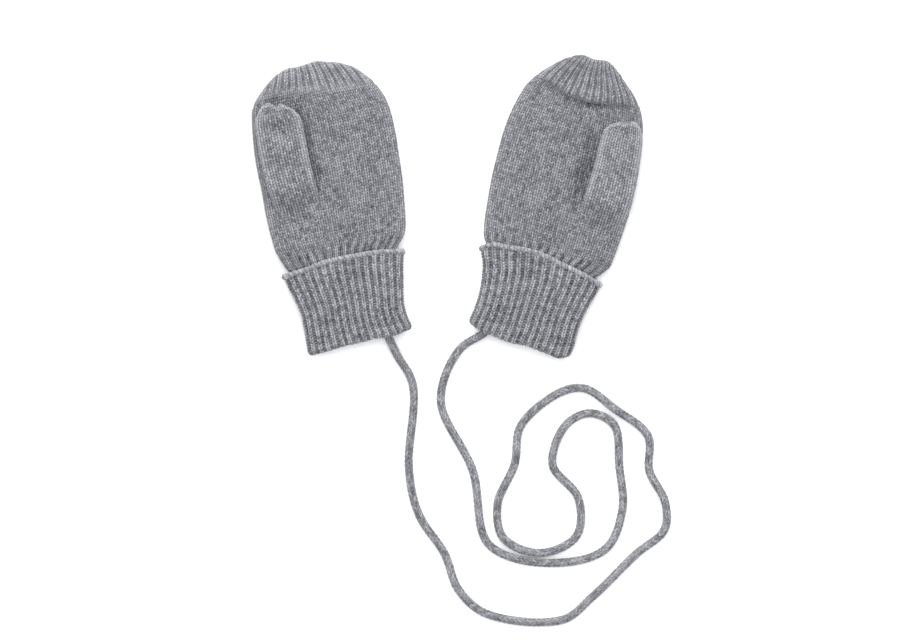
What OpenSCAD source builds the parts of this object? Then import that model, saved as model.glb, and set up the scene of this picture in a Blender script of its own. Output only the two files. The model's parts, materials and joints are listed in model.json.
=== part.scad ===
// Pair of knitted toddler mittens on a cord, laid flat with the palms up.
// +Z is up, the mittens rest on Z = 0 and the fingertips point along +Y.
// Each mitten is drawn in the frame of its cuff: origin at the middle of the cuff's
// bottom fold, Y towards the fingertips and the thumb on the +X side.

/* [Hand] */
// Width across the fingers
hand_w = 72; // [68:1:76]
// Length from the wrist to the fingertips
hand_l = 101; // [96:1:106]
// Width where the hand meets the cuff
wrist_w = 58; // [56:1:60]
// Height of the hand lying flat
hand_t = 10.2; // [10:0.1:10.6]
// Thickness of the plain knitting
knit_t = 1.6; // [1.4:0.1:1.8]
// Length of the ribbed fingertips
rib_tip_l = 18; // [14:1:22]

/* [Thumb] */
// Width of the thumb
thumb_w = 22; // [20:0.5:23]
// Height of the thumb lying flat
thumb_t = 7.4; // [7:0.1:8]
// Thickness of the thumb's knitting
thumb_knit_t = 1.4; // [1.2:0.1:1.5]
// Distance from the cuff's fold to the thumb's root
thumb_y = 70; // [68:0.5:72]

/* [Cuff] */
// Height of the turned-up cuff
cuff_h = 40; // [38:1:42]
// Width of the cuff at its bottom fold
cuff_w = 52.5; // [51:0.5:54]
// How much wider the turn-up is at its top edge
flare = 9.5; // [8:0.5:10]
// Height of the cuff lying flat
cuff_t = 13; // [12.8:0.1:13.4]
// Thickness of the turned-up layer
turn_up_t = 2; // [1.8:0.1:2]
// Thickness of the inner layer
inner_t = 1.8; // [1.6:0.1:1.8]

/* [Cord] */
// Diameter of the knitted cord
cord_d = 4.2; // [4:0.1:4.3]

/* [Lay] */
// Lean of the left mitten's cuff, in degrees
left_lean = 12.6; // [12:0.1:13.2]
// Lean of the right mitten's cuff, in degrees
right_lean = 17; // [16.4:0.1:17.6]
// How far the left hand bends inwards at the wrist, in degrees
left_bend = 5.5; // [4:0.5:6]
// How far the right hand bends inwards at the wrist, in degrees
right_bend = 4.5; // [3:0.5:6]

/* [Hidden] */

// Colours of the yarn: plain knitting, ribbing in the turn-up, edges and stitches
knit_grey = [0.56, 0.57, 0.59];
rib_grey = [0.5, 0.51, 0.53];
edge_grey = [0.68, 0.69, 0.71];
cord_grey = [0.48, 0.48, 0.5];

// Middle of each cuff's bottom fold
left_at = [-44.6, -68.5];
right_at = [35.2, -67.9];

// Each thumb: distance of its root from the cuff's middle line, how far it turns inwards
// in degrees, and its length
LEFT_THUMB = [16.2, 1.3, 56];
RIGHT_THUMB = [22.4, 5.3, 50.5];

// The ribbed fingertips start here, and the hand starts just past the cuff's top edge
edge_l = 2;
hand_y = cuff_h + edge_l + 1.2;
rib_from = hand_l - rib_tip_l;
swell_l = 35;
round_from = 55;
tip_thin_l = 12;
hand_edge = 6.5;
cuff_edge_r = 6;
layer_gap = 0.1;
side_steps = 5;

// Hole in the palm under the thumb's root, and the opening under the root of the thumb
hole_w = 15;
hole_l = 12;
hole_y = 8;
notch_l = 15.5;
seam_w = 1;
lift_gap = 0.3;

yarn_d = 1.2;
route_gap = 10.5;
cord_sides = 10;

// Route of the cord from inside the left cuff to inside the right one. It leaves each
// cuff at half the cuff's height and then lies on the floor.
floor_z = cord_d / 2;
mouth_z = cuff_t / 2;
CORD_ROUTE = [
    [-32.5, -56.5, mouth_z], [-31, -64.5, mouth_z], [-26.5, -74.5, 3.3], [-18.5, -89.5, floor_z],
    [-20.5, -131.5, floor_z], [-15.5, -154.5, floor_z], [-2.5, -174.5, floor_z], [4.5, -192.5, floor_z],
    [18.5, -204.5, floor_z], [56.5, -207.5, floor_z], [71.5, -196, floor_z], [93.5, -174.5, floor_z],
    [107.5, -162.5, floor_z], [108, -148.5, floor_z], [100, -132.5, floor_z], [99.5, -115.5, floor_z],
    [82.5, -101.5, floor_z], [67.5, -91.5, floor_z], [54.5, -94, floor_z], [35.5, -110.5, floor_z],
    [32.5, -129.5, floor_z], [24, -149.5, floor_z], [27, -166.5, floor_z], [45.5, -174, floor_z],
    [63.5, -165.5, floor_z], [64.5, -146.5, floor_z], [51.5, -129.5, floor_z], [58.5, -109.5, floor_z],
    [70.5, -104, floor_z], [82.5, -110, floor_z], [85, -130.5, floor_z], [86.5, -152.5, floor_z],
    [77.5, -172.5, floor_z], [47.5, -179, floor_z], [19.5, -169.5, floor_z], [11.5, -132.5, floor_z],
    [-4.5, -97.5, floor_z], [4.5, -72.5, floor_z], [18.5, -62.5, mouth_z - 0.2], [22.5, -54.5, mouth_z]
];

// ---- Outlines ----

// Half width of the hand at a distance s from the wrist
function hand_half(s) =
    s < swell_l ? wrist_w / 2 + (hand_w - wrist_w) / 2 * sin(90 * s / swell_l)
    : s < round_from ? hand_w / 2
    : max(5, hand_w / 2 * sqrt(max(0, 1 - pow((s - round_from) / (hand_l - round_from), 3.4))));

// Half height of the hand, thinner at the very tip
function hand_rise(s) =
    s < hand_l - tip_thin_l ? hand_t / 2
    : hand_t / 2 * sqrt(1 - 0.75 * pow((s - hand_l + tip_thin_l) / tip_thin_l, 2));

// The same two for the hollow inside
function hollow_half(s) = max(2, hand_half(min(s + knit_t, hand_l)) - knit_t);
function hollow_rise(s) = hand_rise(s) - knit_t;

// Half width of the turn-up at a height y above the bottom fold
function turn_up_half(y) = cuff_w / 2 + flare / 2 * pow(max(0, y - 18) / 22, 2);

// Half width and half height of the thumb at a distance s from its root
function thumb_half(s, l) =
    let (bend = thumb_w / 2, t = max(0, s - l + bend) / bend)
    max(3, thumb_w / 2 * sqrt(max(0, 1 - pow(t, 2.6))));
function thumb_rise(s, l) = thumb_t / 2 * sqrt(1 - 0.7 * pow(max(0, s - l + 6) / 6, 2));

// ---- Sections: loops of points across the mitten, seen from the cuff ----

// Upper half of a flat oval, from the +X side over the top to the -X side
function arch(half, rise, edge) =
    let (e = min(edge, half))
    concat(
        [for (i = [0:side_steps]) let (a = 90 * i / side_steps) [half - e + e * cos(a), rise * sin(a)]],
        [for (i = [0:side_steps]) let (a = 90 * i / side_steps) [e - half - e * sin(a), rise * cos(a)]]
    );

// Whole flat oval
function oval(half, rise, edge) =
    let (up = arch(half, rise, edge), n = len(up))
    concat(up, [for (i = [n - 2:-1:1]) [up[i].x, -up[i].y]]);

// A section moved to its place: x is the middle line, y the distance and z the mid height
function placed(section, x, y, z) = [for (p = section) [x + p.x, y, z + p.y]];

function backwards(list) = [for (i = [len(list) - 1:-1:0]) list[i]];

// ---- Skins: solids stretched over rings of points ----

function ring_sides(first, rows, n) =
    [for (i = [0:rows - 2], j = [0:n - 1])
        let (a = first + i * n + j, b = first + i * n + (j + 1) % n)
        each [[a, b, a + n], [b, b + n, a + n]]];

function flipped(faces) = [for (f = faces) backwards(f)];

function ring_band(a, b, n) =
    [for (j = [0:n - 1])
        let (k = (j + 1) % n)
        each [[a + j, b + j, b + k], [a + j, b + k, a + k]]];

// Faces that close the end of a curved wall, between its outer and its inner points
function wall_end(n) = [for (j = [0:n / 2 - 2]) [j, j + 1, n - 2 - j, n - 1 - j]];

// Solid with a ring at each station, closed at both ends by the given faces
module skin(rings, near_end) {
    n = len(rings[0]);
    rows = len(rings);
    points = [for (r = rings) each r];
    far_end = [for (f = flipped(near_end)) [for (p = f) (rows - 1) * n + p]];
    polyhedron(points, concat(near_end, flipped(ring_sides(0, rows, n)), far_end));
}

// Tube with a wall: outer rings, inner rings, and a tip that is closed or open
module sleeve(outer, inner, closed_tip) {
    n = len(outer[0]);
    outer_rows = len(outer);
    inner_rows = len(inner);
    inner_first = outer_rows * n;
    outer_last = (outer_rows - 1) * n;
    inner_last = inner_first + (inner_rows - 1) * n;
    points = concat([for (r = outer) each r], [for (r = inner) each r]);
    walls = concat(
        flipped(ring_sides(0, outer_rows, n)),
        ring_sides(inner_first, inner_rows, n),
        flipped(ring_band(0, inner_first, n))
    );
    open_end = ring_band(outer_last, inner_last, n);
    tip_caps = [
        [for (j = [n - 1:-1:0]) outer_last + j],
        [for (j = [0:n - 1]) inner_last + j]
    ];
    polyhedron(points, concat(walls, closed_tip ? tip_caps : open_end));
}

// ---- Hand ----

// Middle line of a hand that bends at the wrist
function middle(s, bend) = -s * tan(bend);

// One half of the plain hand: a curved wall open at the wrist and at the fingertips
module hand_wall(bend) {
    steps = 9;
    section = function (s) concat(
        arch(hand_half(s), hand_rise(s), hand_edge),
        backwards(arch(hollow_half(s), hollow_rise(s), hand_edge - knit_t))
    );
    walls = [for (i = [0:steps])
        let (s = rib_from * i / steps)
        placed(section(s), middle(s, bend), hand_y + s, 0)];
    skin(walls, wall_end(len(walls[0])));
}

module hole_outline(grow) {
    polygon([for (a = [0:15:345]) [(hole_w / 2 + grow) * cos(a), (hole_l / 2 + grow) * sin(a)]]);
}

// Everything on a thumb is drawn from its root, Y along the thumb
module at_root(thumb) {
    translate([thumb[0], thumb_y, 0])
        rotate([0, 0, thumb[1]])
        children();
}

module palm_panel(bend, thumb) {
    color(knit_grey)
    difference() {
        translate([0, 0, hand_t / 2])
            hand_wall(bend);
        at_root(thumb)
            translate([0, hole_y, hand_t / 2 + 1])
            linear_extrude(hand_t)
            hole_outline(0);
    }
}

module back_panel(bend) {
    color(knit_grey)
    translate([0, 0, hand_t / 2])
        mirror([0, 0, 1])
        hand_wall(bend);
}

// Ribbed fingertips, knitted on to both panels and closed at the tip
module rib_tip(bend) {
    steps = 6;
    reach = function (i, l) rib_from + (l - rib_from) * sin(90 * i / steps);
    color(rib_grey)
    sleeve(
        [for (i = [0:steps])
            let (s = reach(i, hand_l))
            placed(oval(hand_half(s), hand_rise(s), hand_edge), middle(s, bend), hand_y + s, hand_t / 2)],
        [for (i = [0:steps])
            let (s = reach(i, hand_l - 2 * knit_t))
            placed(oval(hollow_half(s), hollow_rise(s), hand_edge - knit_t),
                middle(s, bend), hand_y + s, hand_t / 2)],
        true
    );
}

// Yarn drawn through the last stitches of the fingertips
module tip_gather(bend) {
    ring_r = 2.2;
    color(edge_grey)
    translate([middle(hand_l, bend), hand_y + hand_l - 2.6, hand_t / 2])
        rotate([90, 0, 0])
        rotate_extrude($fn = 32)
        translate([ring_r, 0])
        circle(d = yarn_d, $fn = 16);
}

// Seam along the thumb's side, inside the hand
module side_seam(bend) {
    steps = 9;
    seam_r = 0.9;
    outline = [for (a = [0:60:300]) [seam_r * cos(a), seam_r * sin(a)]];
    color(edge_grey)
    skin([for (i = [0:steps])
        let (s = 1 + (rib_from - 2) * i / steps)
        placed(outline, middle(s, bend) + hollow_half(s) - seam_r + 0.2, hand_y + s, hand_t / 2)],
        [[for (j = [0:5]) j]]);
}

// Row of picked-up stitches round the thumb hole
module thumb_seam(thumb) {
    color(edge_grey)
    at_root(thumb)
        translate([0, hole_y, hand_t - knit_t])
        linear_extrude(knit_t)
        difference() {
            hole_outline(0);
            hole_outline(-seam_w);
        }
}

// ---- Thumb ----

// Tube of the thumb, closed at its tip and open underneath its root
module thumb_tube(thumb) {
    thumb_l = thumb[2];
    steps = 8;
    edge = 4.5;
    mid = hand_t + lift_gap + thumb_t / 2;
    reach = function (i, l) l * sin(90 * i / steps);
    color(knit_grey)
    at_root(thumb)
    difference() {
        sleeve(
            [for (i = [0:steps])
                let (s = reach(i, thumb_l))
                placed(oval(thumb_half(s, thumb_l), thumb_rise(s, thumb_l), edge), 0, s, mid)],
            [for (i = [0:steps])
                let (s = reach(i, thumb_l - 2 * thumb_knit_t), w = thumb_half(s + thumb_knit_t, thumb_l))
                placed(oval(w - thumb_knit_t, thumb_rise(s, thumb_l) - thumb_knit_t, edge - thumb_knit_t),
                    0, s, mid)],
            true
        );
        translate([3 - thumb_w / 2, -1, hand_t])
            cube([thumb_w - 6, notch_l + 1, lift_gap + thumb_knit_t + 0.5]);
    }
}

// Yarn drawn through the last stitches of the thumb
module thumb_gather(thumb) {
    ring_r = 1.5;
    color(edge_grey)
    at_root(thumb)
        translate([0, thumb[2] - 2.2, hand_t + lift_gap + thumb_t / 2])
        rotate([90, 0, 0])
        rotate_extrude($fn = 32)
        translate([ring_r, 0])
        circle(d = 1, $fn = 16);
}

// ---- Cuff ----

// Ring of the cuff at a height y, the given depth in from the turn-up's outside
function cuff_ring(y, depth) =
    placed(oval(turn_up_half(y) - depth, cuff_t / 2 - depth, cuff_edge_r - depth), 0, y, cuff_t / 2);

// Ribbed tube next to the wrist
module inner_cuff() {
    steps = 4;
    depth = turn_up_t + layer_gap;
    level = function (i) turn_up_t + (cuff_h - turn_up_t + 1) * i / steps;
    color(rib_grey)
    sleeve(
        [for (i = [0:steps]) cuff_ring(level(i), depth)],
        [for (i = [0:steps]) cuff_ring(level(i), depth + inner_t)],
        false
    );
}

// The same ribbing folded up over itself. Its bottom lip joins it to the inner tube.
module turn_up() {
    steps = 4;
    level = function (i) turn_up_t + (cuff_h - turn_up_t) * i / steps;
    lip = turn_up_t + layer_gap + inner_t;
    color(rib_grey)
    sleeve(
        concat([cuff_ring(0, 0.5)], [cuff_ring(0.6, 0)], [for (i = [0:steps]) cuff_ring(level(i), 0)]),
        concat([cuff_ring(0, lip)], [cuff_ring(turn_up_t, lip)],
            [for (i = [0:steps]) cuff_ring(level(i), turn_up_t)]),
        false
    );
}

// Soft cast-on edge along the top of the turn-up
module cast_on_edge() {
    color(edge_grey)
    sleeve(
        [cuff_ring(cuff_h, 0), cuff_ring(cuff_h + edge_l * 0.6, 0), cuff_ring(cuff_h + edge_l, 0.5)],
        [cuff_ring(cuff_h, turn_up_t), cuff_ring(cuff_h + edge_l, turn_up_t - 0.3)],
        false
    );
}

// ---- Cord ----

// Centripetal curve through four neighbouring route points, at u from 0 to 1
function knot(a, b) = sqrt(norm(b - a));
function mixed(a, b, ta, tb, t) = ((tb - t) * a + (t - ta) * b) / (tb - ta);
function curve(p0, p1, p2, p3, u) =
    let (
        t1 = knot(p0, p1),
        t2 = t1 + knot(p1, p2),
        t3 = t2 + knot(p2, p3),
        t = t1 + (t2 - t1) * u,
        a = mixed(p0, p1, 0, t1, t),
        b = mixed(p1, p2, t1, t2, t),
        c = mixed(p2, p3, t2, t3, t)
    )
    mixed(mixed(a, b, 0, t2, t), mixed(b, c, t1, t3, t), t1, t2, t);

// The route's points with one more beyond each end, then points about route_gap apart
// along it, none of them below the height at which the cord touches the floor
route_end = len(CORD_ROUTE) - 1;
padded_route = concat(
    [2 * CORD_ROUTE[0] - CORD_ROUTE[1]],
    CORD_ROUTE,
    [2 * CORD_ROUTE[route_end] - CORD_ROUTE[route_end - 1]]
);
cord_line = concat(
    [for (i = [0:route_end - 1])
        let (parts = max(1, round(norm(CORD_ROUTE[i + 1] - CORD_ROUTE[i]) / route_gap)))
        for (k = [0:parts - 1])
            let (p = curve(padded_route[i], padded_route[i + 1], padded_route[i + 2], padded_route[i + 3],
                k / parts))
            [p.x, p.y, max(floor_z, p.z)]],
    [CORD_ROUTE[route_end]]
);

function unit(v) = v / norm(v);

// Ring of the cord round point i of a line
function cord_ring(line, i) =
    let (
        ahead = unit(line[min(i + 1, len(line) - 1)] - line[max(i - 1, 0)]),
        side = unit(cross(ahead, [0, 0, 1])),
        up = cross(side, ahead)
    )
    [for (j = [0:cord_sides - 1])
        let (a = 360 * (j + 0.5) / cord_sides)
        line[i] + cord_d / 2 * (side * cos(a) + up * sin(a))];

module cord() {
    color(cord_grey)
    skin([for (i = [0:len(cord_line) - 1]) cord_ring(cord_line, i)], [[for (j = [0:cord_sides - 1]) j]]);
}

// Wraps of yarn that hold an end of the cord inside its cuff
module cord_tack(end, inner) {
    ahead = unit(inner - end);
    wrap_d = 0.6;
    color(edge_grey)
    translate(end)
        rotate([0, 0, atan2(ahead.y, ahead.x)])
        for (k = [1:3])
            translate([1.2 * k, 0, 0])
            rotate([0, 90, 0])
            rotate_extrude($fn = 32)
            translate([cord_d / 2, 0])
            circle(d = wrap_d, $fn = 16);
}

// ---- Laying out ----

module on_left() {
    translate([left_at.x, left_at.y, 0])
        rotate([0, 0, left_lean])
        mirror([1, 0, 0])
        children();
}

module on_right() {
    translate([right_at.x, right_at.y, 0])
        rotate([0, 0, -right_lean])
        children();
}

module left_palm_panel() { on_left() palm_panel(left_bend, LEFT_THUMB); }
module left_back_panel() { on_left() back_panel(left_bend); }
module left_rib_tip() { on_left() rib_tip(left_bend); }
module left_tip_gather() { on_left() tip_gather(left_bend); }
module left_side_seam() { on_left() side_seam(left_bend); }
module left_thumb_seam() { on_left() thumb_seam(LEFT_THUMB); }
module left_thumb() { on_left() thumb_tube(LEFT_THUMB); }
module left_thumb_gather() { on_left() thumb_gather(LEFT_THUMB); }
module left_inner_cuff() { on_left() inner_cuff(); }
module left_turn_up() { on_left() turn_up(); }
module left_cast_on_edge() { on_left() cast_on_edge(); }
module left_cord_tack() { cord_tack(CORD_ROUTE[0], CORD_ROUTE[1]); }
module right_palm_panel() { on_right() palm_panel(right_bend, RIGHT_THUMB); }
module right_back_panel() { on_right() back_panel(right_bend); }
module right_rib_tip() { on_right() rib_tip(right_bend); }
module right_tip_gather() { on_right() tip_gather(right_bend); }
module right_side_seam() { on_right() side_seam(right_bend); }
module right_thumb_seam() { on_right() thumb_seam(RIGHT_THUMB); }
module right_thumb() { on_right() thumb_tube(RIGHT_THUMB); }
module right_thumb_gather() { on_right() thumb_gather(RIGHT_THUMB); }
module right_inner_cuff() { on_right() inner_cuff(); }
module right_turn_up() { on_right() turn_up(); }
module right_cast_on_edge() { on_right() cast_on_edge(); }
module right_cord_tack() { cord_tack(CORD_ROUTE[route_end], CORD_ROUTE[route_end - 1]); }

left_palm_panel();
left_back_panel();
left_rib_tip();
left_tip_gather();
left_side_seam();
left_thumb_seam();
left_thumb();
left_thumb_gather();
left_inner_cuff();
left_turn_up();
left_cast_on_edge();
left_cord_tack();
right_palm_panel();
right_back_panel();
right_rib_tip();
right_tip_gather();
right_side_seam();
right_thumb_seam();
right_thumb();
right_thumb_gather();
right_inner_cuff();
right_turn_up();
right_cast_on_edge();
right_cord_tack();
cord();
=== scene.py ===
"""A pair of knitted toddler mittens on a cord, laid flat with the palms up."""
import json
import math
import bpy
import numpy as np
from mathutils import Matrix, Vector


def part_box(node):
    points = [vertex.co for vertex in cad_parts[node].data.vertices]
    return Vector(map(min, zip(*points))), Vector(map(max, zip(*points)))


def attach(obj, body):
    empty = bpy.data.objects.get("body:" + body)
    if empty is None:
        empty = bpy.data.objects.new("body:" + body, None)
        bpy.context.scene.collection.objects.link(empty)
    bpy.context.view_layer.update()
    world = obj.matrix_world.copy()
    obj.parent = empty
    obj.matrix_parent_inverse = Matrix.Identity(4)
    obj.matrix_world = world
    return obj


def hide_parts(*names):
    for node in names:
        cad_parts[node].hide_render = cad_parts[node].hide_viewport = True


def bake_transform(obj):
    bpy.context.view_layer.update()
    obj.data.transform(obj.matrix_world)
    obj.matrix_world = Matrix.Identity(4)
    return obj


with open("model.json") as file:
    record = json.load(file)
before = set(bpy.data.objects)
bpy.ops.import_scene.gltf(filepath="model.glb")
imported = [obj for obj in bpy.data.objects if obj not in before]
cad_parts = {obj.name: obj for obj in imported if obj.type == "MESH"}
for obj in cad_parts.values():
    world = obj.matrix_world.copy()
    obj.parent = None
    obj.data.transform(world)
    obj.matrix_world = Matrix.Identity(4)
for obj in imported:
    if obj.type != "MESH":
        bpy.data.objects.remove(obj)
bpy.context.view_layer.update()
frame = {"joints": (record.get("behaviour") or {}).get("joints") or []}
MM = 0.001


# ---- Table, lights and camera ----
# A pale table under soft light from an overhead panel, a window and a bright room. The camera
# looks straight down.
bpy.context.scene.view_settings.view_transform = "Standard"

bpy.ops.mesh.primitive_plane_add(size=6, location=(0, -0.06, 0))
table = bpy.context.object
table.name = "table"
table_paint = bpy.data.materials.new("pale table")
table_paint.use_nodes = True
table_paint.node_tree.nodes["Principled BSDF"].inputs["Base Color"].default_value = (0.93, 0.93, 0.93, 1)
table_paint.node_tree.nodes["Principled BSDF"].inputs["Roughness"].default_value = 0.9
table.data.materials.append(table_paint)

room = bpy.data.worlds.new("bright room")
room.use_nodes = True
room.node_tree.nodes["Background"].inputs["Color"].default_value = (0.97, 0.98, 1.0, 1)
room.node_tree.nodes["Background"].inputs["Strength"].default_value = 1.1
bpy.context.scene.world = room

for name, place, size, power in (
    ("overhead panel", (0.0, 0.1, 1.6), 0.8, 12),
    ("window panel", (-0.15, 1.4, 0.9), 0.7, 24),
):
    panel = bpy.data.lights.new(name, "AREA")
    panel.shape = "SQUARE"
    panel.size = size
    panel.energy = power
    panel.color = (0.97, 0.98, 1.0)
    lamp = bpy.data.objects.new(name, panel)
    bpy.context.scene.collection.objects.link(lamp)
    lamp.location = place
    lamp.rotation_euler = (Vector((0, -0.04, 0)) - Vector(place)).to_track_quat("-Z", "Y").to_euler()

view = bpy.data.cameras.new("camera")
view.lens = 180
view.sensor_width = 36
view.clip_end = 20
camera = bpy.data.objects.new("camera", view)
camera.location = (0.00015, -0.0575, 2.258)
bpy.context.scene.collection.objects.link(camera)
bpy.context.scene.camera = camera


# ---- Cord ----
# A narrow knitted tube, four stitches round, from inside one cuff to inside the other.
# It is limp, so it lies in loose curves on the table and sags down from each cuff.
CORD_WIDTH = 0.0042
FLOOR = CORD_WIDTH / 2
MOUTH = 0.0065
CORD_ROUTE = [
    (-0.0325, -0.0565, MOUTH), (-0.031, -0.0645, MOUTH), (-0.0265, -0.0745, 0.0033),
    (-0.0185, -0.0895, FLOOR),
    (-0.0205, -0.1315, FLOOR), (-0.0155, -0.1545, FLOOR), (-0.0025, -0.1745, FLOOR), (0.0045, -0.1925, FLOOR),
    (0.0185, -0.2045, FLOOR), (0.0565, -0.2075, FLOOR), (0.0715, -0.196, FLOOR), (0.0935, -0.1745, FLOOR),
    (0.1075, -0.1625, FLOOR), (0.108, -0.1485, FLOOR), (0.1, -0.1325, FLOOR), (0.0995, -0.1155, FLOOR),
    (0.0825, -0.1015, FLOOR), (0.0675, -0.0915, FLOOR), (0.0545, -0.094, FLOOR), (0.0355, -0.1105, FLOOR),
    (0.0325, -0.1295, FLOOR), (0.024, -0.1495, FLOOR), (0.027, -0.1665, FLOOR), (0.0455, -0.174, FLOOR),
    (0.0635, -0.1655, FLOOR), (0.0645, -0.1465, FLOOR), (0.0515, -0.1295, FLOOR), (0.0585, -0.1095, FLOOR),
    (0.0705, -0.104, FLOOR), (0.0825, -0.11, FLOOR), (0.085, -0.1305, FLOOR), (0.0865, -0.1525, FLOOR),
    (0.0775, -0.1725, FLOOR), (0.0475, -0.179, FLOOR), (0.0195, -0.1695, FLOOR), (0.0115, -0.1325, FLOOR),
    (-0.0045, -0.0975, FLOOR), (0.0045, -0.0725, FLOOR), (0.0185, -0.0625, MOUTH - 0.0002),
    (0.0225, -0.0545, MOUTH),
]
CORD_SIDES = 24
CORD_STITCHES = 4
CORD_ROW = 0.0023
CORD_TWIST = 0.19


def eased_line(points, step):
    """Points a step apart along a smooth curve through the given ones."""
    p = np.array(points, float)
    p = np.vstack([2 * p[0] - p[1], p, 2 * p[-1] - p[-2]])
    line = []
    for a, b, c, d in zip(p, p[1:], p[2:], p[3:]):
        t1 = np.linalg.norm(b - a) ** 0.5
        t2 = t1 + np.linalg.norm(c - b) ** 0.5
        t3 = t2 + np.linalg.norm(d - c) ** 0.5
        t = np.linspace(t1, t2, 40, endpoint=False)[:, None]
        ab = ((t1 - t) * a + t * b) / t1
        bc = ((t2 - t) * b + (t - t1) * c) / (t2 - t1)
        cd = ((t3 - t) * c + (t - t2) * d) / (t3 - t2)
        abc = ((t2 - t) * ab + t * bc) / t2
        bcd = ((t3 - t) * bc + (t - t1) * cd) / (t3 - t1)
        line.append(((t2 - t) * abc + (t - t1) * bcd) / (t2 - t1))
    line = np.vstack(line + [p[-2:-1]])
    along = np.concatenate([[0], np.cumsum(np.linalg.norm(np.diff(line, axis=0), axis=1))])
    even = np.linspace(0, along[-1], int(along[-1] / step) + 1)
    return np.stack([np.interp(even, along, line[:, k]) for k in range(3)], axis=1)


STITCH_SLANT = 0.85


def loop_height(across, along, roundness=0.5):
    """Relief of plain knitting, 0 in the gaps to 1 on the yarn: each stitch is a V of two strands
    that points to the cuff. A lower roundness makes the strands fuller."""
    strand = 1 - np.abs(2 * (across % 1) - 1)
    slanted = (along + STITCH_SLANT * strand) % 1
    across_strand = np.sin(np.pi * np.clip(strand, 0, 1)) ** roundness
    along_strand = np.sin(np.pi * slanted) ** 0.8
    return across_strand * (0.12 + 0.88 * along_strand)


def strand_shade(across, along):
    """How light each strand's wool is, 0 to 1, different from one stitch to the next."""
    strand = np.floor(across * 2)
    stitch = np.floor(along + STITCH_SLANT * (1 - np.abs(2 * (across % 1) - 1)))
    return (np.sin(strand * 127.1 + stitch * 311.7) * 43758.5453) % 1


def yarn_finish(name, light, dark, gap=0.5, fleck=1300):
    """Melange wool: fibres of two greys, uneven along the yarn, with painted shade in the gaps between the
    stitches and painted light on their crowns; gap is how dark the painted shade is.
    """
    finish = bpy.data.materials.new(name)
    finish.use_nodes = True
    nodes, links = finish.node_tree.nodes, finish.node_tree.links
    wool = nodes["Principled BSDF"]

    def noise(source, scale, detail, rough):
        made = nodes.new("ShaderNodeTexNoise")
        made.inputs["Scale"].default_value = scale
        made.inputs["Detail"].default_value = detail
        made.inputs["Roughness"].default_value = rough
        links.new(source, made.inputs["Vector"])
        return made.outputs["Fac"]

    def ranged(value, low, high, to_low, to_high):
        made = nodes.new("ShaderNodeMapRange")
        for label, number in zip(("From Min", "From Max", "To Min", "To Max"), (low, high, to_low, to_high)):
            made.inputs[label].default_value = number
        links.new(value, made.inputs["Value"])
        return made.outputs["Result"]

    def combined(kind, a, b):
        made = nodes.new("ShaderNodeMath")
        made.operation = kind
        for socket, value in zip(made.inputs, (a, b)):
            if isinstance(value, float):
                socket.default_value = value
            else:
                links.new(value, socket)
        return made.outputs["Value"]

    place = nodes.new("ShaderNodeTexCoord").outputs["Object"]
    stitch = nodes.new("ShaderNodeAttribute")
    stitch.attribute_name = "stitch"
    parts = nodes.new("ShaderNodeSeparateXYZ")
    links.new(stitch.outputs["Vector"], parts.inputs["Vector"])
    along_yarn = nodes.new("ShaderNodeCombineXYZ")
    links.new(combined("MULTIPLY", parts.outputs["X"], 0.16), along_yarn.inputs["X"])
    links.new(combined("MULTIPLY", parts.outputs["Y"], 0.75), along_yarn.inputs["Y"])
    flecks = noise(place, fleck, 2, 0.6)
    streaks = noise(along_yarn.outputs["Vector"], 1.0, 2, 0.5)
    clouds = noise(place, 110, 2, 0.5)
    strand = nodes.new("ShaderNodeAttribute")
    strand.attribute_name = "strand"
    mixed = combined("MULTIPLY", ranged(flecks, 0.35, 0.65, 0, 1), 0.38)
    for value, share in ((strand.outputs["Fac"], 0.46), (ranged(streaks, 0.3, 0.7, 0, 1), 0.08),
                         (ranged(clouds, 0.36, 0.64, 0, 1), 0.08)):
        mixed = combined("ADD", mixed, combined("MULTIPLY", value, share))
    shades = nodes.new("ShaderNodeMix")
    shades.data_type = "RGBA"
    links.new(mixed, shades.inputs["Factor"])
    shades.inputs["A"].default_value = (*dark, 1)
    shades.inputs["B"].default_value = (*light, 1)
    # Painted shade and light: the colour is scaled from gap in the gaps between the stitches up to 1.15 on
    # their crowns.
    depth = ranged(parts.outputs["Z"], 0.05, 0.85, gap, 1.15)
    shaded = nodes.new("ShaderNodeVectorMath")
    shaded.operation = "SCALE"
    links.new(shades.outputs["Result"], shaded.inputs[0])
    links.new(depth, shaded.inputs["Scale"])
    links.new(shaded.outputs["Vector"], wool.inputs["Base Color"])
    links.new(ranged(flecks, 0.3, 0.7, 0.82, 1.0), wool.inputs["Roughness"])
    wool.inputs["Specular IOR Level"].default_value = 0.15
    wool.inputs["Sheen Weight"].default_value = 0.5
    wool.inputs["Sheen Roughness"].default_value = 0.4
    wool.inputs["Sheen Tint"].default_value = (0.85, 0.86, 0.9, 1)
    fibres = nodes.new("ShaderNodeBump")
    fibres.inputs["Strength"].default_value = 0.5
    fibres.inputs["Distance"].default_value = 0.00025
    links.new(noise(place, 2600, 3, 0.6), fibres.inputs["Height"])
    links.new(fibres.outputs["Normal"], wool.inputs["Normal"])
    return finish


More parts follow.
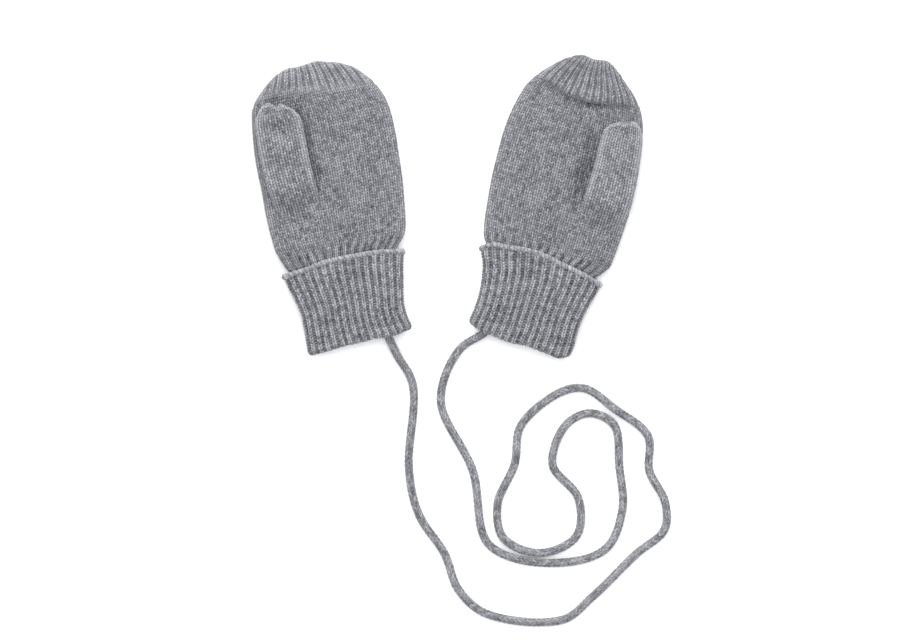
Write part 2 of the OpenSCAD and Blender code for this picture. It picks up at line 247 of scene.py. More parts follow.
def knitted(name, base, relief, across, along, finish, closed=False, outward=1, depth=None,
            shade=None, painted_light_and_shade=0.0):
    """A knitted surface from rows of points in metres, raised by its stitches. The stitch
    coordinates, the depth, which sets the painted shade between the stitches, and the shade of each strand go
    with the mesh. Painted light and shade, such as paler folds and darker hollows, is added to the strands'
    shade."""
    rows, columns = base.shape[:2]
    if closed:
        wide = np.concatenate([base[:, -1:], base, base[:, :1]], axis=1)
        by_column = (wide[:, 2:] - wide[:, :-2]) / 2
    else:
        by_column = np.gradient(base, axis=1)
    by_row = np.gradient(base, axis=0)
    normal = outward * np.cross(by_column, by_row)
    normal /= np.maximum(np.linalg.norm(normal, axis=2, keepdims=True), 1e-12)
    points = base + normal * relief[:, :, None]
    index = np.arange(rows * columns).reshape(rows, columns)
    near = index if closed else index[:, :-1]
    far = np.roll(index, -1, axis=1) if closed else index[:, 1:]
    quads = np.stack([near[:-1], far[:-1], far[1:], near[1:]], axis=2).reshape(-1, 4)
    if outward < 0:
        quads = quads[:, ::-1]
    mesh = bpy.data.meshes.new(name)
    mesh.from_pydata(points.reshape(-1, 3).tolist(), [], quads.tolist())
    stitch = np.zeros((rows, columns, 3), np.float32)
    stitch[..., 0], stitch[..., 1] = across, along
    stitch[..., 2] = depth if depth is not None else relief / max(1e-9, relief.max())
    made = mesh.attributes.new("stitch", "FLOAT_VECTOR", "POINT")
    made.data.foreach_set("vector", stitch.reshape(-1))
    made = mesh.attributes.new("strand", "FLOAT", "POINT")
    shade = strand_shade(across, along) if shade is None else shade
    # Painted light and shade is added to each strand's own random shade.
    shade = np.broadcast_to(shade + painted_light_and_shade, (rows, columns))
    made.data.foreach_set("value", shade.astype(np.float32).reshape(-1))
    mesh.polygons.foreach_set("use_smooth", [True] * len(mesh.polygons))
    mesh.materials.append(finish)
    mesh.update()
    piece = bpy.data.objects.new(name, mesh)
    bpy.context.scene.collection.objects.link(piece)
    return piece


def tube_rings(line, radius, sides, turn=None, level=True):
    """Rings of points round a line. Each ring's first point is at its side."""
    ahead = np.gradient(line, axis=0)
    ahead /= np.linalg.norm(ahead, axis=1, keepdims=True)
    side = np.cross(ahead, [0, 0, 1] if level else [0.3, 1, 0.2])
    side /= np.linalg.norm(side, axis=1, keepdims=True)
    up = np.cross(side, ahead)
    turn = np.zeros(len(line)) if turn is None else turn
    angle = np.linspace(0, 2 * math.pi, sides, endpoint=False)[None, :] + turn[:, None]
    radius = np.broadcast_to(np.asarray(radius, float).reshape(-1, 1), (len(line), 1))
    return (line[:, None] + radius[:, :, None]
            * (side[:, None] * np.cos(angle)[..., None] + up[:, None] * np.sin(angle)[..., None])), angle


cord_wool = yarn_finish("cord knit", light=(0.37, 0.372, 0.393), dark=(0.03, 0.031, 0.034), gap=0.28)
cord_line = eased_line(CORD_ROUTE, 0.0003)
cord_line[:, 2] = np.maximum(cord_line[:, 2], FLOOR)
cord_length = float(np.linalg.norm(np.diff(cord_line, axis=0), axis=1).sum())
so_far = np.linspace(0, cord_length, len(cord_line))
twist = 2 * math.pi * so_far / CORD_TWIST
cord_radius = np.full(len(cord_line), 1.78 * MM)
cord_radius[:4] *= (0.05, 0.6, 0.85, 0.97)
cord_radius[-4:] *= (0.97, 0.85, 0.6, 0.05)
cord_rings, round_cord = tube_rings(cord_line, cord_radius, CORD_SIDES, twist)
cord_across = np.broadcast_to((CORD_STITCHES * np.arange(CORD_SIDES) / CORD_SIDES)[None, :], round_cord.shape)
cord_along = np.broadcast_to((so_far / CORD_ROW)[:, None], round_cord.shape)
cord_strand = 1 - np.abs(2 * (cord_across % 1) - 1)
cord_slanted = (cord_along + 1.1 * cord_strand) % 1
cord_relief = 0.62 + 0.38 * np.sin(np.pi * cord_strand)
cord_relief = cord_relief * (0.05 + 0.95 * np.sin(np.pi * cord_slanted) ** 0.8)
cord = knitted("cord_knit", cord_rings, 0.42 * MM * cord_relief, cord_across, cord_along, cord_wool,
               closed=True, outward=-1, depth=cord_relief)
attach(cord, "cord")
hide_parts("cord")


# ---- Stitches that hold the cord ----
# Three wraps of two-ply sewing yarn round each end of the cord, inside the cuff. They tack the
# cord to the inner cuff, so they do not show from outside.
sewing_wool = yarn_finish("sewing yarn", light=(0.38, 0.383, 0.4), dark=(0.2, 0.202, 0.212),
                          gap=0.6, fleck=1500)
PLY_TWIST = 0.0022
WRAPS = 3


def plied_yarn(name, line, radius, level=True):
    """Two-ply sewing yarn along a line of points: two strands twisted round each other."""
    gone = np.linspace(0, np.linalg.norm(np.diff(line, axis=0), axis=1).sum(), len(line))
    rings, angle = tube_rings(line, np.full(len(line), 0.8 * radius), 10, level=level)
    strands = np.abs(np.cos(angle - 2 * math.pi * gone[:, None] / (2 * PLY_TWIST)))
    return knitted(name, rings, 0.25 * radius * strands, angle / math.pi,
                   np.broadcast_to(gone[:, None] / PLY_TWIST, angle.shape), sewing_wool,
                   closed=True, outward=-1, depth=strands)


for side, end, inner in (
    ("left", CORD_ROUTE[0], CORD_ROUTE[1]),
    ("right", CORD_ROUTE[-1], CORD_ROUTE[-2]),
):
    end, ahead = np.array(end), np.array(inner) - np.array(end)
    ahead /= np.linalg.norm(ahead)
    beside = np.cross(ahead, [0, 0, 1])
    above = np.cross(beside, ahead)
    lap = np.linspace(0, WRAPS * 2 * math.pi, 160)[:, None]
    inwards = ahead * (0.0004 + 0.0024 * lap / lap[-1])
    wraps = end + inwards + CORD_WIDTH / 2 * (beside * np.cos(lap) + above * np.sin(lap))
    tack = plied_yarn(side + "_cord_stitches", wraps, 0.0004, level=False)
    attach(tack, "cord")
    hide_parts(side + "_cord_tack")


# ---- Turned-up cuffs ----
# Knit one, purl one ribbing folded up over itself. It stretches wider towards its top edge, and
# the fold at the bottom is soft and a little wavy. Sizes are in millimetres from the middle of
# the fold, across to the thumb's side and up towards the fingertips.
rib_wool = yarn_finish("rib knit", light=(0.45, 0.453, 0.475), dark=(0.035, 0.036, 0.039), gap=0.24)
RIBS = 30
RIB_ROW = 1.4
RIB_OFFSET = 0.22
CUFF_MID, CUFF_RISE, FOLD_RADIUS = 6.65, 5.7, 1.9
CUFF_INSET = 0.7
WRIST_UP = 42.8
CUFF_OUTER = {
    "left": [(-3, 27.4), (6, 26.6), (14, 26.2), (20, 26.2), (26, 27.3), (32, 28.7), (37, 30), (44, 31)],
    "right": [(-3, 26.2), (6, 26.6), (14, 26.3), (20, 26.8), (26, 27.8), (32, 29.2), (37, 30.3), (46, 30.6)],
}
CUFF_INNER = {
    "left": [(-3, -28.8), (1, -27.7), (7, -26), (14, -25.5), (20, -26.6), (26, -27.8), (32, -29),
             (37, -30.4), (44, -32.6)],
    "right": [(-3, -28.8), (3, -27.6), (12, -26.6), (20, -27), (26, -27.9), (32, -29.3), (37, -31.8),
              (46, -35)],
}
CUFF_TOP = {
    "left": [(-1, 40.4), (-0.7, 42.4), (-0.4, 43.2), (0, 43.8), (0.3, 43.7), (0.6, 42.2), (0.8, 41.6),
             (1, 41)],
    "right": [(-1, 39.6), (-0.85, 42.6), (-0.6, 43.7), (-0.2, 45.3), (0, 45.2), (0.3, 43.6),
              (0.6, 42.3), (1, 39.4)],
}
CUFF_FOLD = {
    "left": [(-1, 1.3), (-0.6, -0.2), (-0.35, 0.4), (0, 0.1), (0.35, 0.2), (0.7, -0.6), (1, -0.8)],
    "right": [(-1, 1.2), (-0.75, -0.8), (-0.5, -1.2), (-0.15, -2), (0.15, -1.2), (0.4, -1.4),
              (0.7, -2), (0.92, -1.9), (1, -0.4)],
}
THUMB_SIDE = {"left": -1, "right": 1}
joints = {joint["name"]: joint for joint in frame["joints"]}


def lay(side, across, up, height):
    """Points of a mitten, in millimetres from the middle of its cuff's fold, put in their place."""
    hinge = joints[side + "_wrist_bend"]
    right = np.array(hinge["axis"][:2])
    fingers = np.array([-right[1], right[0]])
    at = np.array(hinge["pos_m"][:2]) - fingers * WRIST_UP * MM
    across, up, height = np.broadcast_arrays(across, up, height)
    flat = at + MM * (THUMB_SIDE[side] * across[..., None] * right + up[..., None] * fingers)
    return np.concatenate([flat, MM * height[..., None]], axis=-1)


def eased(x, places):
    """Smooth curve through (x, value) places."""
    xs, ys = np.array(places, float).T
    slope = np.gradient(ys, xs)
    x = np.clip(x, xs[0], xs[-1])
    i = np.clip(np.searchsorted(xs, x) - 1, 0, len(xs) - 2)
    gap = xs[i + 1] - xs[i]
    u = (x - xs[i]) / gap
    return ((1 + 2 * u) * (1 - u) ** 2 * ys[i] + u * (1 - u) ** 2 * gap * slope[i]
            + u * u * (3 - 2 * u) * ys[i + 1] + u * u * (u - 1) * gap * slope[i + 1])


def width_at(up, outer, inner, inset=0):
    """Middle and half width of a piece at a height up, from its outlines on the thumb's side and
    on the other side."""
    outer, inner = eased(up, outer) - inset, eased(up, inner) + inset
    return (outer + inner) / 2, (outer - inner) / 2


def flat_oval(share, half, rise, width_round, height_round):
    """Unit places (x, z) at shares 0 to 1 of the way over a flat oval's upper half, starting at
    the thumb's side, evenly spaced along the fabric."""
    a = np.linspace(0, math.pi, 2001)
    x = np.sign(np.cos(a)) * np.abs(np.cos(a)) ** (2 / width_round)
    z = np.abs(np.sin(a)) ** (2 / height_round)
    gone = np.concatenate([[0], np.cumsum(np.hypot(np.diff(x * half), np.diff(z * rise)))])
    return np.interp(share * gone[-1], gone, x), np.interp(share * gone[-1], gone, z)


def round_cuff(columns, half, rise):
    """How far round each column is, and its unit places (x, z) on a flat oval."""
    around = np.arange(columns) / columns
    over = np.where(around < 0.5, around * 2, 2 - around * 2)
    x, z = flat_oval(over, half, rise, 2.9, 2.3)
    return around, x, np.where(around < 0.5, z, -z)


def rib_height(across, along, knit=0.68):
    """Relief of knit one, purl one ribbing, 0 in the furrows to 1 on the knit stitches."""
    place = across % 1
    in_knit = place < knit
    q = np.clip(place / knit, 0, 1)
    wall = np.sin(np.pi * q) ** 0.35
    strands = loop_height(q, along, 0.9)
    p = np.clip((place - knit) / (1 - knit), 0, 1)
    bars = 0.42 * np.sin(np.pi * p) ** 0.6 * np.sin(np.pi * (along % 1)) ** 1.5
    return np.where(in_knit, wall * (0.22 + 0.78 * strands), bars)


def rib_shade(across, along, knit=0.68):
    """How light each strand of ribbing is, 0 to 1."""
    place = across % 1
    leg = np.floor(across) + np.where(place < knit, place / knit, 0)
    return strand_shade(leg, along + np.where(place < knit, 0, 0.5))


for side in ("left", "right"):
    around, unit_x, unit_z = round_cuff(RIBS * 16, 29, CUFF_RISE)
    fold = eased(unit_x, CUFF_FOLD[side])
    top = eased(unit_x, CUFF_TOP[side]) - 1.0
    # Rows run up the hidden side, over the top edge, down the outside and round the fold
    up = [top - 1.5 - k for k in (26, 12, 2)] + [top - 0.2] + [top + 0.1]
    depth = [1.8, 1.8, 1.7, 1.3, 0.5]
    first_row = len(up)
    for share in np.linspace(1, 0, 170):
        up.append(fold + FOLD_RADIUS + share * (top - fold - FOLD_RADIUS))
        depth.append(0.0)
    fold_row = len(up)
    for a in np.linspace(0, math.pi, 16)[1:]:
        up.append(fold + FOLD_RADIUS * (1 - math.sin(a)))
        depth.append(FOLD_RADIUS * (1 - math.cos(a)))
    for k in (0.8, 1.6, 2.4, 3.2):
        up.append(fold + FOLD_RADIUS + k)
        depth.append(2 * FOLD_RADIUS + 0.02)
    up, depth = np.array(up), np.array(depth)[:, None]
    mid, half = width_at(up, CUFF_OUTER[side], CUFF_INNER[side], CUFF_INSET)
    base = lay(side, mid + unit_x * (half - depth), up, CUFF_MID + unit_z * (CUFF_RISE - depth))
    rows_up = up / RIB_ROW
    rows_up[fold_row:] = (2 * fold - up)[fold_row:] / RIB_ROW
    ribs = np.broadcast_to(RIBS * around + RIB_OFFSET, up.shape)
    relief = rib_height(ribs, rows_up)
    pull = np.ones(up.shape)
    pull[:first_row] = 0.2
    pull[fold_row:] = 0.75
    settle = eased(up - fold, [(0, 0.8), (4, 1), (20, 1), (34, 1), (42, 0.85)])
    piece = knitted(side + "_turn_up_rib", base, 0.95 * MM * relief * pull * settle, ribs, rows_up, rib_wool,
                    closed=True, outward=THUMB_SIDE[side], depth=relief, shade=rib_shade(ribs, rows_up))
    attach(piece, side + "_cuff")
    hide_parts(side + "_turn_up")


# ---- Cast-on edges ----
# The first row of loops, along the top of each turn-up. It rolls into a soft, paler bead.
edge_wool = yarn_finish("edge yarn", light=(0.37, 0.373, 0.395), dark=(0.08, 0.081, 0.088), gap=0.6)
EDGE_LOOPS = 2.5 * RIBS
for side in ("left", "right"):
    turns, edge_x, edge_z = round_cuff(900, 29, CUFF_RISE)
    up = eased(edge_x, CUFF_TOP[side]) - 0.75
    ripple = (0.24 * np.cos(2 * math.pi * (RIBS * turns + RIB_OFFSET - 0.28))
              + 0.12 * np.cos(2 * math.pi * 11 * turns + 1))
    mid, half = width_at(up, CUFF_OUTER[side], CUFF_INNER[side], CUFF_INSET)
    height = np.maximum(CUFF_MID + edge_z * (CUFF_RISE - 0.35 + ripple), 1.5)
    centre = lay(side, mid + edge_x * (half - 0.35 + ripple), up, height)
    ahead = np.roll(centre, -1, axis=0) - np.roll(centre, 1, axis=0)
    ahead /= np.linalg.norm(ahead, axis=1, keepdims=True)
    fingers = lay(side, 0.0, 1.0, 0.0) - lay(side, 0.0, 0.0, 0.0)
    fingers = np.broadcast_to(fingers / np.linalg.norm(fingers), ahead.shape)
    out = np.cross(ahead, fingers)
    out /= np.linalg.norm(out, axis=1, keepdims=True)
    angle = np.linspace(0, 2 * math.pi, 14, endpoint=False)
    thick = (1 + 0.3 * np.abs(edge_x) ** 24)[:, None, None]
    rings = centre[:, None] + MM * thick * (1.15 * out[:, None] * np.cos(angle)[None, :, None]
                                            + 1.1 * fingers[:, None] * np.sin(angle)[None, :, None])
    rings = np.concatenate([rings, rings[:1]], axis=0)
    loops = np.linspace(0, EDGE_LOOPS, len(rings))[:, None]
    bead = np.abs(np.cos(angle[None, :] / 2 + math.pi * loops))
    edge = knitted(side + "_cast_on_bead", rings, 0.3 * MM * bead, 2 * angle[None, :] / math.pi,
                   loops, edge_wool, closed=True, outward=-1, depth=bead)
    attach(edge, side + "_cuff")
    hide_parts(side + "_cast_on_edge")


# ---- Inner cuffs ----
# The part of the ribbing next to the wrist, under the turn-up: the same wool, knitted in one with
# it. It shows only in the cuff's mouth.
LINING_TOP = 41
LINING_ROWS = 60
for side in ("left", "right"):
    around, unit_x, unit_z = round_cuff(RIBS * 8, 26, 3)
    fold = eased(unit_x, CUFF_FOLD[side])
    # Rows run up the side next to the hand, over the top edge and back down
    up, depth = [], []
    for share in np.linspace(0, 1, LINING_ROWS):
        up.append(fold + 3.5 + share * (LINING_TOP - 3.5 - fold))
        depth.append(2 * FOLD_RADIUS + 0.05)
    for k, inside in ((LINING_TOP + 0.2, 3.0), (LINING_TOP + 0.2, 2.1), (30, 2.1), (15, 2.1), (4, 2.1)):
        up.append(np.full(fold.shape, k))
        depth.append(inside)
    up, depth = np.array(up), np.array(depth)[:, None]
    mid, half = width_at(up, CUFF_OUTER[side], CUFF_INNER[side], CUFF_INSET)
    base = lay(side, mid + unit_x * (half - depth), up, CUFF_MID + unit_z * (CUFF_RISE - depth))
    ribs = np.broadcast_to(RIBS * around + RIB_OFFSET, up.shape)
    relief = rib_height(ribs, up / RIB_ROW)
    relief[LINING_ROWS:] = 0
    lining = knitted(side + "_inner_rib", base, 0.5 * MM * relief, ribs, up / RIB_ROW, rib_wool,
                     closed=True, outward=THUMB_SIDE[side], depth=relief, shade=rib_shade(ribs, up / RIB_ROW))
    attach(lining, side + "_cuff")
    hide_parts(side + "_inner_cuff")


# ---- Hands ----
# Plain knitting in one tube, shown as a palm and a back. It is drawn in where it meets the
# ribbing of the cuff, and lies almost flat, thicker in the middle than along its sides.
plain_wool = yarn_finish("plain knit", light=(0.335, 0.337, 0.356), dark=(0.033, 0.034, 0.037), gap=0.34)
WALES = 30
ROW = 1.45
STITCH_RISE = 0.42
HAND_RISE = 4.7
HAND_INSET = 0.35
HAND_START = 38
PALM_ROUND, BACK_ROUND = (3, 2.1), (6, 2.4)
WRIST_BEND = (41.0, 51.0)
HAND_OUTER = {
    "left": [(38, 24.5), (42, 27.2), (45, 28.9), (48, 30), (54, 31.9), (60, 32.3), (72, 32.6), (84, 32),
             (96, 31.9), (104, 31.4), (112, 30.4), (118, 29.5), (124, 28.3), (130, 25.5), (136, 21.6),
             (142, 17.5), (146, 15)],
    "right": [(38, 24.5), (42, 27.5), (45, 30), (48, 32), (54, 33), (60, 33.3), (72, 33.7), (84, 33.6),
              (96, 32.5), (104, 31.3), (109, 30.5), (115, 29), (121, 27.5), (127, 24.7), (133, 20.5),
              (139, 14.6), (148, 6)],
}
HAND_INNER = {
    "left": [(38, -25), (42, -28), (45, -30.5), (48, -33.2), (51, -34.6), (56, -35.7), (66, -37.3),
             (76, -38.6), (88, -39.5), (103, -40.3), (112, -39.9), (118, -38.7), (124, -36.1), (130, -33),
             (136, -29), (142, -24), (146, -21)],
    "right": [(38, -26.5), (42, -30.5), (45, -32.7), (48, -33.8), (54, -35.1), (60, -36), (72, -37.5),
              (84, -38.4), (106, -38.4), (112, -37.6), (118, -36.4), (124, -34.6), (127, -32.9),
              (133, -29.2), (139, -24.4), (148, -16)],
}
# How far up the hand's edge reaches over the fingertips, by the angle across the hand
TIP_EDGE = {
    "left": [(-90, 127), (-79, 129), (-72, 132.7), (-64, 135.5), (-56, 137.2), (-48, 138.9),
             (-31, 140.8), (-16, 142.3), (0, 141.9), (10, 141.5), (27, 141.8), (37, 140.9), (44, 139.9),
             (52, 138.2), (59, 136.2), (67, 133.8), (75, 130.9), (90, 126.5)],
    "right": [(-90, 131), (-78, 136), (-73, 138.5), (-68, 141), (-58, 143.4), (-48, 145.3),
              (-33, 146.3), (-18, 146.2), (-4, 145.8), (10, 146.4), (25, 146.9), (41, 146.2), (52, 144.3),
              (59, 142.2), (65, 140), (72, 137.8), (80, 135), (90, 131)],
}
# Where the plain knitting changes to the ribbed fingertips
RIB_START = {
    "left": [(-1, 124), (-0.7, 124.2), (-0.25, 125.6), (0.2, 127.9), (0.6, 129.5), (1, 129.2)],
    "right": [(-1, 130), (-0.72, 128.1), (-0.3, 125.2), (0.1, 124.8), (0.43, 126.8), (0.85, 129), (1, 129.5)],
}
# How far the palm steps down below the ribbed fingertips, which also sets how dark the painted shadow under
# the step is
STEP_DOWN = {"left": 0.3, "right": 2.0}
# Where and how far the palm sinks along the inner side of the thumb, and how dark the painted shade in that
# groove is
GROOVE = {
    "left": [(60, 5.6), (85, 8.3), (112, 8), (125, 9.5)],
    "right": [(60, 7), (78, 7.8), (95, 7.8), (108, 6.8), (120, 9)],
}
GROOVE_DEPTH = {
    "left": [(68, 0), (80, 0.8), (100, 1), (118, 1), (128, 0)],
    "right": [(64, 0), (74, 0.8), (88, 1), (102, 0.9), (114, 0.25), (122, 0)],
}
GROOVE_PAINTED_SHADE = {"left": 0.4, "right": 0.35}
# Where the folds above the cuff begin to fade
PUCKER_END = {"left": 47.5, "right": 46}


def tip_edge(side, unit_x):
    """How far up the hand reaches at a place across it."""
    return eased(np.degrees(np.arcsin(np.clip(unit_x, -1, 1))), TIP_EDGE[side])


def rib_start(side, unit_x):
    """Where the ribbed fingertips begin at a place across the hand."""
    return np.minimum(eased(unit_x, RIB_START[side]), tip_edge(side, unit_x) - 3)


def groove(side, across, up):
    """How deep the palm sinks beside the thumb, 0 to 1; it also places the painted shade in the groove."""
    beside = across - eased(up, GROOVE[side])
    return np.exp(-(beside / 5.5) ** 2) * eased(up, GROOVE_DEPTH[side])


def hand_place(side, unit_x, unit_z, up, upper):
    """Across, up and height of a place on the hand, on its palm or its back."""
    mid, half = width_at(up, HAND_OUTER[side], HAND_INNER[side], HAND_INSET)
    height = eased(up, [(38, 6.5), (43, 6.3), (50, 5.5), (57, 5.15), (64, 5.15), (150, 5.15)])
    rise = eased(up, [(38, 3.2), (43, 4), (47, 4.6), (52, HAND_RISE), (58, HAND_RISE), (150, HAND_RISE)])
    to_edge = np.clip((tip_edge(side, unit_x) - up) / HAND_RISE, 0, 1)
    closing = np.sqrt(1 - (1 - to_edge) ** 2)
    full = unit_z * closing
    if upper:
        from_rib = up - rib_start(side, unit_x)
        step = np.tanh(from_rib / 1.1) * np.exp(-np.abs(from_rib) / 6.5)
        step = STEP_DOWN[side] * step * (1 - unit_x ** 4)
        waves = 0.22 * np.sin(0.13 * up + 2.2 * unit_x) + 0.16 * np.sin(0.21 * up - 5 * unit_x + 1)
        sunk = 2.6 * groove(side, mid + unit_x * half, up)
        return mid + unit_x * half, up, height + rise * full + (step + waves - sunk) * full
    return mid + unit_x * half, up, height - rise * full


def pucker(side, unit_share, up):
    """Folds where the hand is drawn in above the cuff, in line with the ribs."""
    drawn = np.maximum(up - PUCKER_END[side], 0)
    return (0.8 * np.cos(2 * math.pi * (15 * unit_share + 0.2)) * np.exp(-drawn / 3)
            + 0.35 * np.cos(2 * math.pi * (6 * unit_share + 0.4 * np.sin(9 * unit_share)))
            * np.exp(-np.maximum(up - 45, 0) / 7))


for side in ("left", "right"):
    share = np.linspace(0, 1, WALES * 8 + 1)
    for panel, upper, rounding in (("palm", True, PALM_ROUND), ("back", False, BACK_ROUND)):
        unit_x, unit_z = flat_oval(share, 36, HAND_RISE, *rounding)
        rows = np.linspace(0, 1, 360 if upper else 280)[:, None]
        up = HAND_START + rows * (rib_start(side, unit_x) - HAND_START)
        places = hand_place(side, unit_x, unit_z, up, upper)
        base = lay(side, *places)
        across = np.broadcast_to(WALES * share, up.shape)
        relief = loop_height(across, up / ROW)
        sway = pucker(side, share, up) * (unit_z > 0.02)
        sway = sway if upper else 0.25 * sway - 0.3
        # Painted light and shade: paler towards the hand's edges and on the crests of the folds above the
        # cuff, darker in the folds' hollows and all over the back underneath.
        painted_light_shade = 0.4 * np.abs(unit_x) ** 14 + 0.4 * sway
        if upper:
            # Painted shadow in a band under the step below the ribbed fingertips, strongest in the middle.
            below_rib = np.exp(-((rib_start(side, unit_x) - up - 1) / 2) ** 2)
            middle = np.exp(-((unit_x + 0.05) / 0.5) ** 2)
            # Painted shade in the groove beside the thumb.
            painted_light_shade = painted_light_shade - GROOVE_PAINTED_SHADE[side] * groove(side, places[0], up)
            painted_light_shade = painted_light_shade - 0.2 * STEP_DOWN[side] * below_rib * middle
        piece = knitted(f"{side}_{panel}_knit", base, MM * (STITCH_RISE * relief + sway * unit_z), across,
                        up / ROW, plain_wool, outward=THUMB_SIDE[side] * (-1 if upper else 1),
                        depth=relief, painted_light_and_shade=painted_light_shade)
        ahead = lay(side, 0.0, np.array(WRIST_BEND), 8.0)
        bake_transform(piece)
        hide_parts(f"{side}_{panel}_panel")


# ---- Fingertips ----
# The last rows are ribbing, drawn together as they go over the tips of the fingers and round to
# the back. They stand a little proud of the plain knitting.
TIP_RIBS = 15
TIP_KNIT = 0.8
# How many millimetres the plain knitting takes to turn into ribs, and how much painted light brightens the
# tips
RIB_FADE = {"left": 5, "right": 1}
TIP_PAINTED_LIGHT = {"left": 0.6, "right": 0.38}
for side in ("left", "right"):
    count = TIP_RIBS * 16 + 1
    share = np.concatenate([np.linspace(0, 1, count), np.linspace(1, 0, count)[1:-1]])
    top_x, top_z = flat_oval(share[:count], 36, HAND_RISE, *PALM_ROUND)
    back_x, back_z = flat_oval(share[count:], 36, HAND_RISE, *BACK_ROUND)
    grids = []
    for unit_x, unit_z, upper in ((top_x, top_z, True), (back_x, back_z, False)):
        start, end = rib_start(side, unit_x), tip_edge(side, unit_x)
        rows = np.sin(np.linspace(-0.02, math.pi / 2, 90))[:, None]
        up = start + rows * (end - start)
        grids.append((np.stack(np.broadcast_arrays(*hand_place(side, unit_x, unit_z, up, upper))), up))
    place = np.concatenate([grids[0][0], grids[1][0]], axis=2)
    up = np.concatenate([grids[0][1], grids[1][1]], axis=1)
    base = lay(side, *place)
    ribs = np.broadcast_to(TIP_RIBS * share + RIB_OFFSET, up.shape)
    start = np.concatenate([rib_start(side, top_x), rib_start(side, back_x)])
    ribbed = np.clip((up - start + 0.2) / RIB_FADE[side], 0, 1)
    plain = loop_height(WALES * share, up / ROW)
    relief = ribbed * rib_height(ribs, up / RIB_ROW, TIP_KNIT) + (1 - ribbed) * plain
    end = np.concatenate([tip_edge(side, top_x), tip_edge(side, back_x)])
    fade = np.clip(np.sin(np.pi * share) * 4, 0, 1) * (STITCH_RISE + 0.32 * ribbed)
    fade = fade * np.clip((end - up) / 1.5, 0.4, 1) * np.where(np.arange(len(share)) < count, 1, 0.5)
    # Painted light brightens the fingertips; raising the depth to the power 1.4 deepens the painted shade
    # between the stitches.
    tip = knitted(side + "_fingertip_rib", base, MM * relief * fade, ribs, up / RIB_ROW, plain_wool,
                  closed=True, outward=-THUMB_SIDE[side], depth=relief ** 1.4,
                  shade=rib_shade(ribs, up / RIB_ROW, TIP_KNIT), painted_light_and_shade=TIP_PAINTED_LIGHT[side])
    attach(tip, side + "_hand")
    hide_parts(side + "_rib_tip")


# ---- Thumbs ----
# A flat knitted tube that grows out of the palm and lies along it. Its sides fold into soft
# ridges, and the last stitches are drawn together, which leaves a notch and folds at its tip.
THUMB_WALES = 9
THUMB_OUTER = {
    "left": [(54, 30), (62, 28.6), (70, 27.6), (79, 27.6), (89, 28.4), (101, 28.4), (112, 28),
             (118, 27.2), (122, 25.4), (128, 22)],
    "right": [(54, 31.5), (62, 32), (70, 32.4), (78, 32.9), (86, 32.8), (95, 31.4), (105, 30.6),
              (110, 29.7), (114, 28.8), (118, 27), (123, 24)],
}
THUMB_INNER = {
    "left": [(54, 0), (62, 2), (70, 3.8), (79, 4.7), (85, 4.9), (96, 5), (108, 4.8), (112, 4.8),
             (118, 5.4), (122, 7.4), (128, 11)],
    "right": [(54, 11), (62, 10.6), (70, 10.4), (78, 10), (86, 9.9), (95, 10.1), (105, 9.3), (110, 9.1),
              (114, 9.7), (118, 11.5), (123, 14)],
}
THUMB_TIP = {
    "left": [(-90, 116), (-70, 120), (-50, 122.8), (-30, 124.6), (-8, 124.1), (5, 125.6), (25, 126.5),
             (50, 125.6), (70, 123), (90, 118)],
    "right": [(-90, 112), (-70, 115.5), (-50, 117.8), (-25, 119.2), (-5, 119.4), (10, 120.4), (30, 121.5),
              (50, 120.6), (70, 118.6), (90, 115)],
}
THUMB_ROOT = {"left": 73, "right": 70}
# Place across and length of the fold at the tip, depth of the dent below it, and how much painted light
# brightens the thumb
FOLD_PLACE = {"left": 0, "right": 0.12}
THUMB_FOLD = {"left": 4, "right": 9}
THUMB_DENT = {"left": 1.2, "right": 0.3}
THUMB_PAINTED_LIGHT = {"left": 0.08, "right": 0.22}


def palm_height(side, across, up):
    """Height of the palm's surface."""
    mid, half = width_at(up, HAND_OUTER[side], HAND_INNER[side], HAND_INSET)
    unit_x = np.clip((across - mid) / half, -1, 1)
    unit_z = np.maximum(0, 1 - np.abs(unit_x) ** PALM_ROUND[0]) ** (1 / PALM_ROUND[1])
    return hand_place(side, unit_x, unit_z, up, True)[2] + HAND_INSET


def smooth(x):
    """0 to 1 with a soft start and end."""
    x = np.clip(x, 0, 1)
    return x ** 2 * (3 - 2 * x)


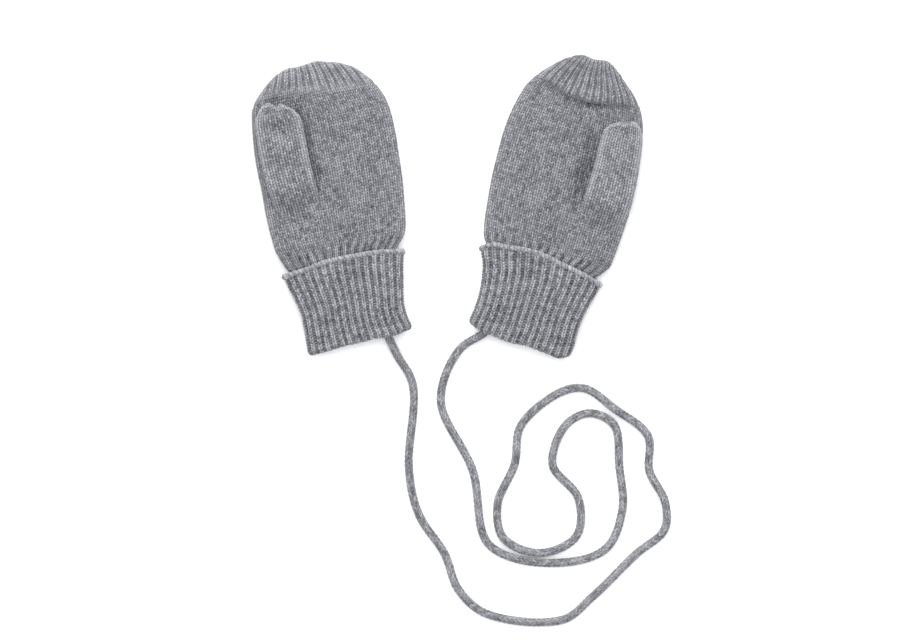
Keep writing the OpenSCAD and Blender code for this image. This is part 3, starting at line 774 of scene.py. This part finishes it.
for side in ("left", "right"):
    columns = THUMB_WALES * 8
    share = np.concatenate([np.linspace(0, 1, columns + 1), np.linspace(1, 0, columns + 1)[1:-1]])
    over = np.arange(len(share)) <= columns
    unit_x, unit_z = flat_oval(share, 11.5, 3, 3.4, 2)
    tip = eased(np.degrees(np.arcsin(np.clip(unit_x, -1, 1))), THUMB_TIP[side])
    root = THUMB_ROOT[side]
    rows = np.linspace(0, 1, 300)[:, None]
    rows = np.where(rows > 0.85, 0.85 + 0.15 * np.sin((rows - 0.85) / 0.15 * math.pi / 2), rows)
    up = root - 16 + rows * (tip - root + 16)
    mid, half = width_at(up, THUMB_OUTER[side], THUMB_INNER[side])
    across_at = mid + unit_x * half
    grown = smooth((up - root + 4) / 14)
    lifted = smooth((up - root - 1) / 13)
    palm = palm_height(side, across_at, up) - 1.9
    low = palm + 2.1 * grown
    tall = eased(up - root, [(-16, 0.3), (-10, 2.6), (-4, 4.6), (2, 5.6), (10, 6), (20, 6.1), (60, 5.8)])
    bell = (1 - np.abs(unit_x) ** 2) ** 1.6
    close = np.sqrt(1 - (1 - np.clip((tip - up) / 3.6, 0, 1)) ** 2)
    rim = np.maximum(np.exp(-((np.abs(unit_x) - 0.87) / 0.1) ** 2), np.exp(-((tip - up - 1.6) / 1.0) ** 2))
    ridge = 1.1 * rim * grown - 0.8 * np.exp(-(unit_x / 0.62) ** 2) * grown
    notch = np.exp(-((unit_x - FOLD_PLACE[side]) / 0.09) ** 2) * np.exp(-(tip - up) / THUMB_FOLD[side])
    folds = 0.35 * np.cos(unit_x * 17 + 0.5) * np.exp(-(tip - up) / 4)
    dent = THUMB_DENT[side] * np.exp(-((up - tip + 13) / 3.4) ** 2) * np.exp(-(unit_x / 0.6) ** 2)
    # The sides stand up from the palm, the top arches over them, and the underside closes the tube
    middle = 0.5 + 0.25 * grown
    top_side = middle * tall * (grown + (lifted - grown) * np.abs(unit_x) ** 4) + (1 - grown) * 0.3
    arch = tall * (unit_z * grown + bell * (1 - grown)) * 0.5 * close
    upper = low + top_side + (arch + (ridge + folds - notch - dent) * unit_z * close)
    lower = palm + (2.1 + middle * tall * (1 - unit_z * close)) * lifted
    height = np.where(over, upper, lower)
    base = lay(side, across_at, up, height)
    wale = np.broadcast_to(THUMB_WALES * share, up.shape)
    relief = loop_height(wale, up / ROW)
    # Painted light and shade: the thumb brightened overall and paler on its side ridges and tip rim, darker
    # in the fold and the dent at its tip.
    painted_light_shade = grown * over * (THUMB_PAINTED_LIGHT[side] + 0.6 * rim - 0.5 * notch - 0.3 * dent)
    thumb = knitted(side + "_thumb_knit", base, STITCH_RISE * MM * relief, wale, up / ROW, plain_wool,
                    closed=True, outward=-THUMB_SIDE[side], depth=relief, painted_light_and_shade=painted_light_shade)
    hinge = joints[side + "_thumb_lift"]
    right = np.array(hinge["axis"])
    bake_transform(thumb)
    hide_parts(side + "_thumb")


# ---- Seams and drawing-in yarn ----
# Yarn drawn twice through the last stitches closes each fingertip and each thumb. Inside the
# hand, over-and-over stitches run up the thumb's side, and picked-up stitches ring the thumb.
SEAM_STITCH = 2.9
PICKED_UP = 28


def middle_of(node):
    """Middle of a node's box."""
    return np.array([tuple(corner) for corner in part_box(node)]).mean(axis=0)


for side in ("left", "right"):
    hinge = joints[side + "_wrist_bend"]
    right = np.array(hinge["axis"])
    fingers = np.array([-right[1], right[0], 0])
    lap = np.linspace(0, 4 * math.pi, 220)[:, None]
    for name, wide, thick, body, inside in (
        ("tip_gather", 1.9, 0.55, "_hand", 4),
        ("thumb_gather", 1.2, 0.4, "_thumb", 5),
    ):
        centre = middle_of(f"{side}_{name}") - inside * MM * fingers
        loops = centre + MM * (wide * (right * np.cos(lap) + np.array([0, 0, 1]) * np.sin(lap))
                               + 0.3 * fingers * (np.cos(3.5 * lap) + lap / 6 - 1))
        yarn = plied_yarn(f"{side}_{name}_yarn", loops, thick * MM, level=False)
        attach(yarn, side + body)
        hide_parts(f"{side}_{name}")

    up = np.linspace(46, rib_start(side, np.array(1.0)) - 1, 700)
    turn = 2 * math.pi * up / SEAM_STITCH
    across = eased(up, HAND_OUTER[side]) - 3.3 + 0.45 * np.cos(turn)
    seam = plied_yarn(side + "_side_seam_yarn", lay(side, across, up, 5.1 + 0.45 * np.sin(turn)), 0.4 * MM)
    ahead = lay(side, 0.0, np.array(WRIST_BEND), 8.0)
    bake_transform(seam)
    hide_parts(side + "_side_seam")

    away = (middle_of(side + "_thumb_seam") - np.array(hinge["pos_m"])) / MM
    lap = np.linspace(0, 2 * math.pi, 420)
    ripple = 0.4 * np.cos(PICKED_UP * lap)
    across = THUMB_SIDE[side] * away @ right + (7 + ripple) * np.cos(lap)
    up = WRIST_UP + away @ fingers + (5.5 + ripple) * np.sin(lap)
    ring = lay(side, across, up, palm_height(side, across, up) - 1.7)
    picked = plied_yarn(side + "_thumb_seam_yarn", ring, 0.45 * MM)
    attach(picked, side + "_hand")
    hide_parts(side + "_thumb_seam")
